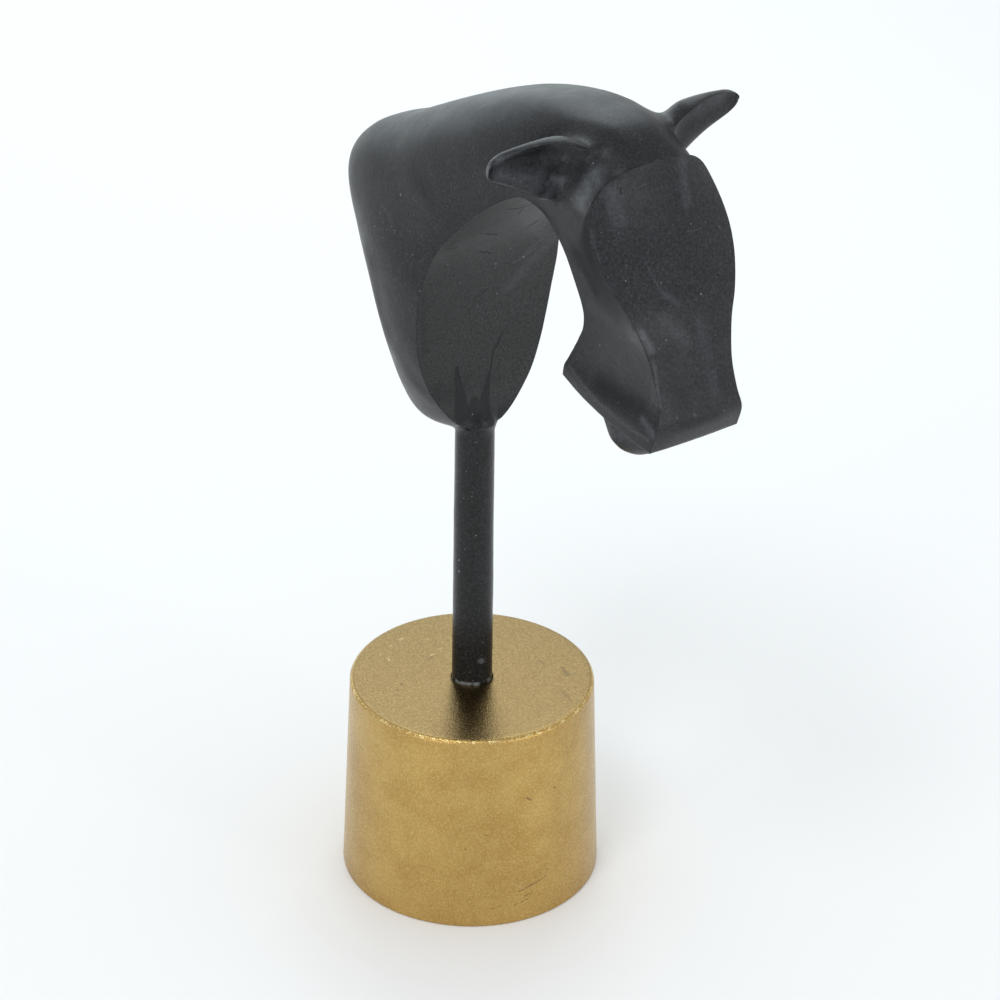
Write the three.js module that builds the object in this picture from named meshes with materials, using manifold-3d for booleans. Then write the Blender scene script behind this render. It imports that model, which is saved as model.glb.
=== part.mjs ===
// Horse sculpture: a stylised head and neck cast in one with a round rod, standing on a gold drum.
// Millimetres. +Z is up, +X is the way the horse faces, +Y is its left.
// The origin is the centre of the drum's underside, and the rod stands on the same axis.

import * as THREE from 'three';
import { mergeVertices } from 'three/addons/utils/BufferGeometryUtils.js';
import Module from 'manifold-3d';

const wasm = await Module();
wasm.setup();

// Drum
const drumHeight = 78.5;
const drumBottomRadius = 47.5;
const drumTopRadius = 44.6;
const drumTopRounding = 1.6;
const drumBottomRounding = 0.8;

// Rod and its seat in the drum
const rodLength = 106;
const rodFootRadius = 7.4;
const rodNeckRadius = 7.0;
const seatDepth = 6;
const seatClearance = 0.3;
const seatCountersink = 1.1;
const rodFlareRadius = 8.4;
const rodFlareLength = 5;

// Horse, measured from the underside of the neck to the top of the poll
const horseHeight = 143;

// How finely the surfaces are divided
const ringCount = 66;
const sideColumns = 11;
const acrossColumns = 8;
const earRings = 15;
const earBackColumns = 8;
const earHollowColumns = 6;
const turnedSegments = 72;
const roundingSegments = 5;
const weldDistance = 1e-4;

const neckFoot = drumHeight + rodLength;

// The horse is drawn on a pattern 143 units tall. Its zero is the underside of the neck, on the rod's axis.
const patternUnit = horseHeight / 143;

// Each station is one slice across the body, from its inner side (front of the neck, throat, back
// of the jaw) to its outer side (back of the neck, crest, face). Points are [forward, up].
//   inner, outer   middle of the slice's two ends
//   innerHalf      half width of the flat inner facet
//   outerHalf      half width of the flat face plate, zero along the rounded crest
//   middleHalf     half width halfway through the slice
//   rimHalf        half width the sides aim at beside the outer end
//   crown          how far the face plate swells out along its middle, square to the plate
const stations = [
  station([6.2, 0.0], 6.0, [-8.0, -4.0], 0, 7.5, 7.0, 0), // underside on the rod
  station([5.4, 3.0], 11.0, [-20.3, -3.6], 0, 13.0, 12.0, 0), // heel of the neck
  station([5.0, 7.5], 15.2, [-26.5, 1.6], 0, 17.5, 15.0, 0), // rounding up the back
  station([4.5, 15.5], 20.8, [-30.6, 12.0], 0, 22.0, 18.0, 0), // low neck
  station([3.8, 25.5], 25.0, [-34.6, 25.0], 0, 25.5, 20.5, 0), // low neck, wider
  station([4.0, 35.5], 27.3, [-40.0, 38.8], 0, 27.8, 22.0, 0), // middle of the neck
  station([5.2, 46.5], 28.5, [-46.8, 53.6], 0, 29.0, 23.0, 0), // middle of the neck, wider
  station([7.2, 57.5], 29.0, [-54.2, 69.0], 0, 29.7, 24.0, 0), // widest facet
  station([9.8, 67.5], 28.0, [-60.2, 84.6], 0, 29.5, 24.0, 0), // withers corner
  station([13.5, 75.5], 27.0, [-50.2, 96.8], 0, 29.0, 23.0, 0), // top of the withers
  station([19.0, 83.0], 26.0, [-31.4, 106.0], 0, 28.5, 22.0, 0), // start of the crest
  station([27.0, 91.5], 25.0, [-9.4, 117.6], 0, 28.0, 22.0, 0), // crest
  station([36.0, 99.5], 24.0, [13.4, 128.6], 0, 27.0, 22.0, 0), // crest, rising
  station([44.0, 105.5], 22.5, [32.4, 136.0], 0, 26.0, 22.0, 0), // crest, levelling
  station([51.5, 109.2], 20.5, [50.0, 140.2], 0, 25.0, 23.0, 0), // top of the throat
  station([57.5, 107.0], 17.5, [66.0, 141.8], 0, 24.0, 24.0, 0), // poll
  station([61.5, 102.5], 15.5, [81.5, 141.2], 0, 22.0, 25.0, 0), // between the ears
  station([64.2, 98.0], 14.3, [94.5, 134.3], 0, 20.0, 26.0, 0), // top of the face plate
  station([66.0, 94.1], 13.3, [95.2, 132.5], 11.5, 18.5, 26.0, 0.6), // plate opening out
  station([67.5, 90.5], 12.6, [93.2, 128.0], 19.5, 17.5, 26.0, 3.4), // forehead
  station([69.3, 86.0], 11.9, [93.2, 120.3], 24.6, 17.0, 27.0, 5.5), // above the brow
  station([70.9, 81.5], 11.2, [97.3, 111.5], 26.8, 16.5, 27.0, 4.6), // brow
  station([72.3, 77.3], 10.6, [102.0, 104.5], 26.4, 16.0, 26.4, 3.7), // eye
  station([73.2, 73.0], 10.2, [106.8, 97.3], 24.3, 15.0, 24.3, 2.6), // cheek
  station([72.9, 68.3], 10.2, [111.0, 89.7], 21.3, 14.0, 21.3, 2.2), // bridge of the nose
  station([71.2, 63.8], 10.6, [114.2, 80.3], 17.8, 13.3, 17.8, 2.0), // nose
  station([69.4, 59.4], 11.4, [117.6, 69.1], 15.8, 13.6, 15.8, 2.0), // narrowest nose
  station([68.0, 55.8], 12.3, [120.8, 59.5], 15.9, 14.9, 15.9, 1.8), // muzzle
  station([67.3, 53.4], 13.2, [121.6, 52.6], 17.7, 17.6, 17.7, 1.5), // ridge round the lip
  station([67.0, 49.8], 13.4, [119.2, 44.7], 18.0, 17.7, 18.0, 1.0), // lower edge of the jaw
];
const sideFullness = 3.0;
const plateFacing = [0.96, 0.27];

// The chin swells out of the flat end of the jaw: [forward] centre, half length, half width and depth.
const chin = {
  centre: 95.8,
  halfLength: 9.0,
  halfWidth: 16.9,
  depth: 17.2,
  fullness: 2.0,
};

// An ear is a leaf that points outwards, hollow towards the front. Each slice is taken at a distance out
// from the horse's middle and runs between an upper and a lower rim, with a round back and a hollow that is
// deepest under the upper rim.
const earSlices = [
  earSlice(14, [85.0, 134.5], [72.0, 115.5], 9.5, 1.0),
  earSlice(22, [83.6, 139.2], [70.5, 115.6], 10.4, 4.2),
  earSlice(28, [81.6, 140.8], [69.6, 117.8], 8.2, 4.3),
  earSlice(34, [79.8, 141.1], [69.6, 121.4], 5.8, 2.9),
  earSlice(40, [78.2, 140.3], [70.4, 125.2], 4.6, 2.0),
  earSlice(45, [76.6, 139.0], [71.4, 128.0], 4.0, 1.4),
  earSlice(48, [75.7, 137.6], [72.2, 129.8], 3.0, 0.8),
  earSlice(49.5, [75.3, 136.5], [73.2, 131.8], 1.8, 0.5),
  earSlice(50, [75.0, 135.4], [74.2, 133.6], 0.6, 0.15),
];
const earBackFullness = 0.8;
const earHollowInset = 0.97;
const earHollowLean = 1.3;

// The rod's root inside the neck, as shares of the horse's height
const rodRootLength = 0.09 * horseHeight;
const rodRootRadiusShare = 0.6;

function station(inner, innerHalf, outer, outerHalf, middleHalf, rimHalf, crown) {
  return [...inner, innerHalf, ...outer, outerHalf, middleHalf, rimHalf, crown];
}

function earSlice(out, upper, lower, back, hollow) {
  return [out, ...upper, ...lower, back, hollow];
}

// Smooth curve through rows of numbers, read at a share from 0 to 1 along them.
function readAlong(rows, share) {
  const last = rows.length - 1;
  const place = Math.min(Math.max(share, 0), 1) * last;
  const i = Math.min(Math.floor(place), last - 1);
  const t = place - i;
  return rows[i].map((_, column) => {
    const b = rows[i][column];
    const c = rows[i + 1][column];
    const a = i > 0 ? rows[i - 1][column] : 2 * b - c;
    const d = i < last - 1 ? rows[i + 2][column] : 2 * c - b;
    const slope = c - a;
    const bend = 2 * a - 5 * b + 4 * c - d;
    const twist = 3 * b - a - 3 * c + d;
    return b + 0.5 * t * (slope + t * (bend + t * twist));
  });
}

function onPattern(forward, sideways, up) {
  return [forward * patternUnit, sideways * patternUnit, neckFoot + up * patternUnit];
}

// Half widths down one side of a slice, from its inner end to the crest or to the rim of the face plate.
function sideOf(innerHalf, outerHalf, middleHalf, rimHalf) {
  const aim = Math.max(rimHalf, outerHalf);
  const cut = Math.min(outerHalf / aim, 0.98);
  const reach = (1 - cut ** sideFullness) ** (-1 / sideFullness);
  const rimFall = (1 - reach ** -sideFullness) ** (1 / sideFullness);
  const aimAtRim = outerHalf > 0 ? Math.max(aim, outerHalf / rimFall) : aim;
  const lastAngle = Math.asin(reach ** (-sideFullness / 2));
  const side = [];
  for (let k = 0; k <= sideColumns; k++) {
    const t = k === sideColumns ? 1 : reach * Math.sin(lastAngle * k / sideColumns) ** (2 / sideFullness);
    const fall = Math.max(0, 1 - (t / reach) ** sideFullness) ** (1 / sideFullness);
    const fromInner = innerHalf * (1 - t) * (1 - 2 * t);
    const fromMiddle = middleHalf * 4 * t * (1 - t);
    const width = fromInner + fromMiddle + aimAtRim * t * (2 * t - 1);
    side.push({ t, half: k === sideColumns ? outerHalf : width * fall });
  }
  return side;
}

function sliceOf(values) {
  const [innerX, innerZ, innerHalf, outerX, outerZ, outerRead, middleHalf, rimHalf, crown] = values;
  const outerHalf = Math.max(outerRead, 0);
  const side = sideOf(innerHalf, outerHalf, middleHalf, rimHalf);
  const lengthways = outerX - innerX;
  const upwards = outerZ - innerZ;
  const across = ({ t, half }, sign) => [innerX + lengthways * t, sign * half, innerZ + upwards * t];
  const slice = side.map((point) => across(point, -1));
  for (let k = 1; k < acrossColumns; k++) {
    const share = 2 * k / acrossColumns - 1;
    const swell = outerHalf > 0 ? crown * (1 - share * share) : 0;
    slice.push([outerX + plateFacing[0] * swell, outerHalf * share, outerZ + plateFacing[1] * swell]);
  }
  slice.push(...side.toReversed().map((point) => across(point, 1)));
  for (let k = 1; k < acrossColumns; k++) {
    slice.push([innerX, innerHalf * (1 - 2 * k / acrossColumns), innerZ]);
  }
  return slice;
}

function chinDrop(forward, sideways) {
  const along = Math.abs((forward - chin.centre) / chin.halfLength) ** chin.fullness;
  const across = Math.abs(sideways / chin.halfWidth) ** chin.fullness;
  return chin.depth * Math.sqrt(Math.max(0, 1 - along - across));
}

// Triangles between neighbouring rings that are listed one after another.
function wallTriangles(rings, perRing) {
  const triangles = [];
  for (let i = 0; i < rings - 1; i++) {
    for (let j = 0; j < perRing; j++) {
      const next = (j + 1) % perRing;
      const low = i * perRing;
      const high = low + perRing;
      triangles.push([low + j, high + j, high + next], [low + j, high + next, low + next]);
    }
  }
  return triangles;
}

function bodySolid() {
  const slices = [];
  for (let i = 0; i < ringCount; i++) {
    slices.push(sliceOf(readAlong(stations, i / (ringCount - 1))));
  }
  const perRing = slices[0].length;
  const points = slices.flat();
  const triangles = wallTriangles(ringCount, perRing);

  const footCentre = points.length;
  points.push([0, 0, (stations[0][1] + stations[0][4]) / 2]);
  for (let j = 0; j < perRing; j++) {
    triangles.push([footCentre, j, (j + 1) % perRing]);
  }

  // The jaw's flat end is a grid from the inner facet to the face plate, and the chin swells down from it.
  const jaw = (ringCount - 1) * perRing;
  const leftEnd = 2 * sideColumns + acrossColumns;
  const rows = [];
  for (let j = 0; j <= sideColumns; j++) {
    const row = [jaw + j];
    for (let k = 1; k < acrossColumns; k++) {
      if (j === 0) {
        row.push(jaw + perRing - k);
      } else if (j === sideColumns) {
        row.push(jaw + sideColumns + k);
      } else {
        const [forward, edge, up] = points[jaw + j];
        const sideways = edge * (1 - 2 * k / acrossColumns);
        row.push(points.length);
        points.push([forward, sideways, up - chinDrop(forward, sideways)]);
      }
    }
    row.push(jaw + leftEnd - j);
    rows.push(row);
  }
  for (let j = 0; j < sideColumns; j++) {
    const [a, b] = [rows[j], rows[j + 1]];
    for (let k = 0; k < acrossColumns; k++) {
      triangles.push([a[k], b[k + 1], b[k]], [a[k], a[k + 1], b[k + 1]]);
    }
  }
  return solidFrom(points.map((p) => onPattern(...p)), triangles);
}

function earSolid(side) {
  const rings = [];
  for (let i = 0; i < earRings; i++) {
    const [out, upX, upZ, lowX, lowZ, back, hollow] = readAlong(earSlices, i / (earRings - 1));
    const middle = [(upX + lowX) / 2, (upZ + lowZ) / 2];
    const half = [(upX - lowX) / 2, (upZ - lowZ) / 2];
    const length = Math.hypot(...half);
    const backwards = [-half[1] / length, half[0] / length];
    const at = (along, off) => [middle[0] + half[0] * along + backwards[0] * off, side * out,
      middle[1] + half[1] * along + backwards[1] * off];
    const ring = [];
    for (let k = 0; k <= earBackColumns; k++) {
      const angle = Math.PI * k / earBackColumns;
      ring.push(at(Math.cos(angle), back * Math.sin(angle) ** earBackFullness));
    }
    for (let k = 1; k < earHollowColumns; k++) {
      const angle = Math.PI * k / earHollowColumns;
      const depth = (Math.sin(angle) - earHollowLean * Math.sin(2 * angle)) / (1 + earHollowLean / 2);
      ring.push(at(-earHollowInset * Math.cos(angle), hollow * depth));
    }
    rings.push(ring);
  }
  const perRing = rings[0].length;
  const points = rings.flat();
  const triangles = wallTriangles(earRings, perRing);
  const root = points.length;
  const tip = root + 1;
  points.push(centreOf(rings[0]), centreOf(rings[earRings - 1]));
  for (let j = 0; j < perRing; j++) {
    const next = (j + 1) % perRing;
    const end = (earRings - 1) * perRing;
    triangles.push([root, j, next], [tip, end + next, end + j]);
  }
  const turned = side < 0 ? triangles.map(([a, b, c]) => [a, c, b]) : triangles;
  return solidFrom(points.map((p) => onPattern(...p)), turned);
}

function centreOf(points) {
  const sum = [0, 0, 0];
  for (const point of points) {
    point.forEach((value, axis) => { sum[axis] += value / points.length; });
  }
  return sum;
}

function solidFrom(points, triangles) {
  const geometry = new THREE.BufferGeometry();
  geometry.setAttribute('position', new THREE.Float32BufferAttribute(points.flat(), 3));
  geometry.setIndex(triangles.flat());
  return manifoldOf(geometry);
}

// Welds a geometry's shared corners, drops triangles that have closed to a line, and makes a solid of it.
function manifoldOf(geometry) {
  geometry.deleteAttribute('normal');
  geometry.deleteAttribute('uv');
  const welded = mergeVertices(geometry, weldDistance);
  const corners = welded.index.array;
  const kept = [];
  for (let i = 0; i < corners.length; i += 3) {
    const [a, b, c] = corners.slice(i, i + 3);
    if (a !== b && b !== c && c !== a) {
      kept.push(a, b, c);
    }
  }
  const vertProperties = new Float32Array(welded.getAttribute('position').array);
  return new wasm.Manifold(new wasm.Mesh({ numProp: 3, vertProperties, triVerts: new Uint32Array(kept) }));
}

function geometryOf(solid) {
  const mesh = solid.getMesh();
  const geometry = new THREE.BufferGeometry();
  geometry.setAttribute('position', new THREE.BufferAttribute(mesh.vertProperties, mesh.numProp));
  geometry.setIndex(new THREE.BufferAttribute(mesh.triVerts, 1));
  geometry.computeVertexNormals();
  return geometry;
}

// A profile of [radius, height] points turned about the vertical axis.
function turned(profile) {
  const points = profile.map(([radius, height]) => new THREE.Vector2(radius, height));
  return new THREE.LatheGeometry(points, turnedSegments).rotateX(Math.PI / 2);
}

function cornerArc(centreRadius, centreHeight, rounding, fromDegrees, toDegrees) {
  const arc = [];
  for (let k = 0; k <= roundingSegments; k++) {
    const angle = THREE.MathUtils.degToRad(fromDegrees + (toDegrees - fromDegrees) * k / roundingSegments);
    arc.push([centreRadius + rounding * Math.cos(angle), centreHeight + rounding * Math.sin(angle)]);
  }
  return arc;
}

function drumGeometry() {
  const seatRadius = rodFootRadius + seatClearance;
  const seatFloor = drumHeight - seatDepth;
  return turned([
    [0, 0],
    ...cornerArc(drumBottomRadius - drumBottomRounding, drumBottomRounding, drumBottomRounding, -90, 0),
    ...cornerArc(drumTopRadius - drumTopRounding, drumHeight - drumTopRounding, drumTopRounding, 0, 90),
    [seatRadius + seatCountersink, drumHeight],
    [seatRadius, drumHeight - seatCountersink],
    [seatRadius, seatFloor],
    [0, seatFloor],
  ]);
}

function rodSolid() {
  const foot = drumHeight - seatDepth + seatClearance;
  const profile = [
    [0, foot],
    [rodFootRadius, foot],
    [rodFootRadius, drumHeight],
    [rodNeckRadius, neckFoot - rodFlareLength],
  ];
  for (let k = 1; k <= roundingSegments; k++) {
    const share = k / roundingSegments;
    profile.push([
      rodNeckRadius + (rodFlareRadius - rodNeckRadius) * share * share,
      neckFoot - rodFlareLength * (1 - share),
    ]);
  }
  const rootTop = neckFoot + rodRootLength;
  profile.push([rodNeckRadius * rodRootRadiusShare, rootTop], [0, rootTop]);
  return manifoldOf(turned(profile));
}

function horseSolid() {
  return bodySolid().add(earSolid(-1)).add(earSolid(1)).add(rodSolid());
}

const blackFinish = new THREE.MeshStandardMaterial({ color: '#2b2d30', roughness: 0.5, metalness: 0.3 });
const goldFinish = new THREE.MeshStandardMaterial({ color: '#b39552', roughness: 0.42, metalness: 0.9 });

const horse = new THREE.Mesh(geometryOf(horseSolid()), blackFinish);
horse.name = 'horse_head_on_rod';

const drum = new THREE.Mesh(drumGeometry(), goldFinish);
drum.name = 'drum_base';

const sculpture = new THREE.Group();
sculpture.add(drum, horse);

export default sculpture;
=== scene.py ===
# Horse sculpture: a stylised head and neck cast in one with a round rod, standing on a gold drum.
# Shapes are worked out in millimetres and brought to metres when their mesh is made.
# +Z is up, +X is the way the horse faces, +Y is its left. The rod stands on the origin's axis.

import math

import bpy
import numpy as np
from mathutils import Matrix, Vector
from mathutils.bvhtree import BVHTree


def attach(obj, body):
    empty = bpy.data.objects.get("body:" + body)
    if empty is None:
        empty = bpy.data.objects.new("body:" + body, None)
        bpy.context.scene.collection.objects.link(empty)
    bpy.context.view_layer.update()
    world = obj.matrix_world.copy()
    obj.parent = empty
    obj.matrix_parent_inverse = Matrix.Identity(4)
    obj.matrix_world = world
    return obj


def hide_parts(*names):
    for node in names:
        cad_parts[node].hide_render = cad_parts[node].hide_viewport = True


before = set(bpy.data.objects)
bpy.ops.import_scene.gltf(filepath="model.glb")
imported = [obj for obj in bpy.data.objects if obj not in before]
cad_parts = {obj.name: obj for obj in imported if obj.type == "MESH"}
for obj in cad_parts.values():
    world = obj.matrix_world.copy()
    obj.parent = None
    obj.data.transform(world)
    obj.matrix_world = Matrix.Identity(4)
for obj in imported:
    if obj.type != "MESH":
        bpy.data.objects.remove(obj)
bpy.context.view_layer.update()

MM = 0.001

# Drum
DRUM_HEIGHT = 78.5
DRUM_BOTTOM_RADIUS = 47.5
DRUM_TOP_RADIUS = 44.6
DRUM_TOP_ROUNDING = 1.6
DRUM_BOTTOM_ROUNDING = 0.8
UNDERSIDE_BAND = 0.09
UNDERSIDE_LIFT = 0.02

# Rod and its seat in the drum
ROD_LENGTH = 106
ROD_FOOT_RADIUS = 7.4
ROD_NECK_RADIUS = 7.0
SEAT_DEPTH = 6
SEAT_CLEARANCE = 0.15
SEAT_RING = 0.35
SEAT_RING_DEPTH = 0.12
ROD_FLARE_RADIUS = 8.4
ROD_FLARE_LENGTH = 5
ROD_ROOT_LENGTH = 12.9
ROD_ROOT_RADIUS = 4.2

NECK_FOOT = DRUM_HEIGHT + ROD_LENGTH

# Slices across the horse, from its inner side (front of the neck, throat, back of the jaw) to its outer side
# (back of the neck, crest, face). Each row has the forward and up place of the inner end and its half width,
# the same of the outer end, the half width halfway, the half width that the sides aim at near the outer end,
# and how far the face plate swells out along its middle.
STATIONS = np.array([
    [6.2, 0.0, 6.0, -8.0, -4.0, 0, 7.5, 7.0, 0],  # underside on the rod
    [5.4, 3.0, 11.0, -20.3, -3.6, 0, 13.0, 12.0, 0],  # heel of the neck
    [5.0, 7.5, 15.2, -26.5, 1.6, 0, 17.5, 15.0, 0],  # rounding up the back
    [4.5, 15.5, 20.8, -30.6, 12.0, 0, 22.0, 18.0, 0],  # low neck
    [3.8, 25.5, 25.0, -34.6, 25.0, 0, 25.5, 20.5, 0],  # low neck, wider
    [4.0, 35.5, 27.3, -40.0, 38.8, 0, 27.8, 22.0, 0],  # middle of the neck
    [5.2, 46.5, 28.5, -46.8, 53.6, 0, 29.0, 23.0, 0],  # middle of the neck, wider
    [7.2, 57.5, 29.0, -54.2, 69.0, 0, 29.7, 24.0, 0],  # widest facet
    [9.8, 67.5, 28.0, -60.2, 84.6, 0, 29.5, 24.0, 0],  # withers corner
    [13.5, 75.5, 27.0, -50.2, 96.8, 0, 29.0, 23.0, 0],  # top of the withers
    [19.0, 83.0, 26.0, -31.4, 106.0, 0, 28.5, 22.0, 0],  # start of the crest
    [27.0, 91.5, 25.0, -9.4, 117.6, 0, 28.0, 22.0, 0],  # crest
    [36.0, 99.5, 24.0, 13.4, 128.6, 0, 27.0, 22.0, 0],  # crest, rising
    [44.0, 105.5, 22.5, 32.4, 136.0, 0, 26.0, 22.0, 0],  # crest, levelling
    [51.5, 109.2, 20.5, 50.0, 140.2, 0, 25.0, 23.0, 0],  # top of the throat
    [57.5, 107.0, 17.5, 66.0, 141.8, 0, 24.0, 24.0, 0],  # poll
    [61.5, 102.5, 15.5, 81.5, 141.2, 0, 22.0, 25.0, 0],  # between the ears
    [64.2, 98.0, 14.3, 94.5, 134.3, 0, 20.0, 26.0, 0],  # top of the face plate
    [66.0, 94.1, 13.3, 95.2, 132.5, 11.5, 18.5, 26.0, 0.6],  # plate opening out
    [67.5, 90.5, 12.6, 93.2, 128.0, 19.5, 17.5, 26.0, 3.4],  # forehead
    [69.3, 86.0, 11.9, 93.2, 120.3, 24.6, 17.0, 27.0, 5.5],  # above the brow
    [70.9, 81.5, 11.2, 97.3, 111.5, 26.8, 16.5, 27.0, 4.6],  # brow
    [72.3, 77.3, 10.6, 102.0, 104.5, 26.4, 16.0, 26.4, 3.7],  # eye
    [73.2, 73.0, 10.2, 106.8, 97.3, 24.3, 15.0, 24.3, 2.6],  # cheek
    [72.9, 68.3, 10.2, 111.0, 89.7, 21.3, 14.0, 21.3, 2.2],  # bridge of the nose
    [71.2, 63.8, 10.6, 114.2, 80.3, 17.8, 13.3, 17.8, 2.0],  # nose
    [69.4, 59.4, 11.4, 117.6, 69.1, 15.8, 13.6, 15.8, 2.0],  # narrowest nose
    [68.0, 55.8, 12.3, 120.8, 59.5, 15.9, 14.9, 15.9, 1.8],  # muzzle
    [67.3, 53.4, 13.2, 121.6, 52.6, 17.7, 17.6, 17.7, 1.5],  # ridge round the lip
    [67.0, 49.8, 13.4, 119.2, 44.7, 18.0, 17.7, 18.0, 1.0],  # lower edge of the jaw
])
SIDE_FULLNESS = 3.0
WIDEST_CUT = 0.98
PLATE_FACING = (0.96, 0.27)

# The chin swells out of the flat end of the jaw.
CHIN_CENTRE = 95.8
CHIN_HALF_LENGTH = 9.0
CHIN_HALF_WIDTH = 16.9
CHIN_DEPTH = 17.2
CHIN_FULLNESS = 2.0

# An ear is a leaf that points outwards, hollow towards the front. Each row has its distance out from the
# horse's middle, the forward and up places of its upper and lower rim, and its back's and hollow's depths.
EAR_SLICES = np.array([
    [14, 85.0, 134.5, 72.0, 115.5, 9.5, 1.0],
    [22, 83.6, 139.2, 70.5, 115.6, 10.4, 4.2],
    [28, 81.6, 140.8, 69.6, 117.8, 8.2, 4.3],
    [34, 79.8, 141.1, 69.6, 121.4, 5.8, 2.9],
    [40, 78.2, 140.3, 70.4, 125.2, 4.6, 2.0],
    [45, 76.6, 139.0, 71.4, 128.0, 4.0, 1.4],
    [48, 75.7, 137.6, 72.2, 129.8, 3.0, 0.8],
    [49.5, 75.3, 136.5, 73.2, 131.8, 1.8, 0.5],
    [50, 75.0, 135.4, 74.2, 133.6, 0.6, 0.15],
])
EAR_BACK_FULLNESS = 0.8
EAR_HOLLOW_INSET = 0.97
EAR_HOLLOW_LEAN = 1.3

# How finely the surfaces are divided
RINGS = 330
SIDE_COLUMNS = 56
ACROSS_COLUMNS = 40
CROWDING = 0.8
EAR_CROWDING = 0.6
EAR_RINGS = 56
EAR_BACK_COLUMNS = 34
EAR_HOLLOW_COLUMNS = 30
ROD_STEPS = 96
DRUM_STEPS = 300
ROD_PROFILE_STEP = 1.6
DRUM_PROFILE_STEP = 1.4
CORNER_STEPS = 10
FLARE_STEPS = 16
PATH_SAMPLES = 3000
SIDE_SAMPLES = 500
LEAST_STEP = 1e-6

# Points closer together than this, in millimetres, are made one.
WELD = 0.004
TURNED_WELD = 0.02

# How the joins between ears, head and rod are softened: the reach in millimetres, then strengths and rounds
EAR_FILLET = 9.0
ROD_FILLET = 1.6
FILLET_STRENGTH = 0.7
FILLET_ROUNDS = 40
CORNER_STRENGTH = 0.4
CORNER_ROUNDS = 2

# How the bend of the surface is measured, for the wear on edges and the painted shade in creases
BEND_STRENGTH = 0.5
BEND_ROUNDS = 12
BEND_SCALE = 1.5
LEAST_SPACING = 0.15

# The slight waves and grain of the two surfaces
SKIN_DETAIL = 3.0
HORSE_SKIN = {
    "Wave depth": 0.34 * MM, "Wave scale": 55.0, "Grain depth": 0.07 * MM, "Grain scale": 700.0, "Seed": 3.0,
}
DRUM_SKIN = {
    "Wave depth": 0.12 * MM, "Wave scale": 60.0, "Grain depth": 0.05 * MM, "Grain scale": 900.0, "Seed": 8.0,
}

# Colours, linear
BLACK_DEEP = (0.0085, 0.0094, 0.0115, 1)
BLACK_PALE = (0.0145, 0.0158, 0.0182, 1)
PLATE_TONE = (0.0205, 0.0212, 0.024, 1)
FACET_TONE = (0.0245, 0.0257, 0.0252, 1)
ROD_TONE = (0.0125, 0.0125, 0.0125, 1)
DARK_MARK_AND_SHADE_TONE = (0.0035, 0.0037, 0.0045, 1)
WEAR_AND_PAINTED_LIGHT_TONE = (0.085, 0.091, 0.1, 1)
FLECK_TONE = (0.22, 0.225, 0.235, 1)
SPECKLE_TONE = (0.06, 0.064, 0.072, 1)
GOLD_DEEP = (0.43, 0.262, 0.076, 1)
GOLD_PALE = (0.52, 0.34, 0.11, 1)
GOLD_TOP_PAINTED_SHADE = (0.25, 0.162, 0.062, 1)
GOLD_WEAR_AND_GLINT = (0.8, 0.62, 0.29, 1)
GOLD_STAIN = (0.16, 0.11, 0.05, 1)
GOLD_CHIP = (0.75, 0.6, 0.32, 1)
SPECULAR = 0.24

# Where the casting's finish passes from one part into the next, in metres: heights, then distances forwards
ROD_TOP = (0.178, 0.188)
FACET_FOOT = (0.187, 0.193)
FOOT_RING = (0.0793, 0.0801)
FACET_FRONT = (0.05, 0.056)
PLATE_BACK = (0.06, 0.066)

# Noises of the finishes, each with its scale, detail and roughness
RUBBING = (260.0, 4.0, 0.65)
BLACK_CLOUD = (38.0, 5.0, 0.62)
BLACK_GRAIN = (1050.0, 5.0, 0.75)
BLACK_GLOSS = (90.0, 5.0, 0.65)
GOLD_CLOUD = (60.0, 5.0, 0.6)
GOLD_GRAIN = (1150.0, 4.0, 0.75)
GOLD_SPOTS = (700.0, 3.0, 0.6)
GOLD_GLOSS = (1500.0, 3.0, 0.6)

# Depth of the bumps in metres, and how far the edges of marks are pushed about, in millimetres
BLACK_BUMP = 0.00015
GOLD_BUMP = 0.0002
BLACK_RAGGEDNESS = 0.9
GOLD_RAGGEDNESS = 0.8
RAGGED_SCALE = 900.0

# Fine scratches: how much their noise is stretched, and how wide a line is
HAIRLINE_STRETCH = (50, 50, 1100)
HAIRLINE_WIDTH = 0.014

# The camera stands where the photograph's camera stood.
CAMERA_PLACE = (0.884715, -0.643193, 0.768156)
CAMERA_AZIMUTH = math.radians(53.5)
CAMERA_ELEVATION = math.radians(29.4008)
CAMERA_ROLL = 0.015409347
CAMERA_LENS = 127.456
CAMERA_SENSOR = 36
CAMERA_REACH = (0.05, 60)

# The studio: a floor in millimetres, a room, and soft lights, each with its place, the point it faces, its
# width and height, its power and its colour
FLOOR_REACH = 6000
FLOOR_TONE = (0.9, 0.9, 0.9, 1)
FLOOR_ROUGHNESS = 0.9
ROOM_TONE = (0.95, 0.98, 1.0, 1)
ROOM_BRIGHTNESS = 0.84
SOFTBOXES = {
    "back": ((-1.3, 0.42, 0.5), (0, 0, 0.3), 1.3, 0.6, 2.1, (0.78, 0.98, 1)),
    "overhead": ((-0.62, 0.55, 1.05), (0, 0, 0.3), 0.7, 0.5, 2.5, (0.88, 0.98, 1)),
    "left": ((0.39, -1.13, 0.22), (0, 0, 0.05), 0.15, 0.4, 1.3, (1, 1, 1)),
    "right": ((1.16, 0.31, 0.22), (0, 0, 0.1), 0.2, 0.45, 1.6, (1, 1, 1)),
    "key": ((0.4, -0.75, 1.45), (0, 0, 0.15), 0.4, 0.4, 4, (1, 1, 1)),
}
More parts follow.
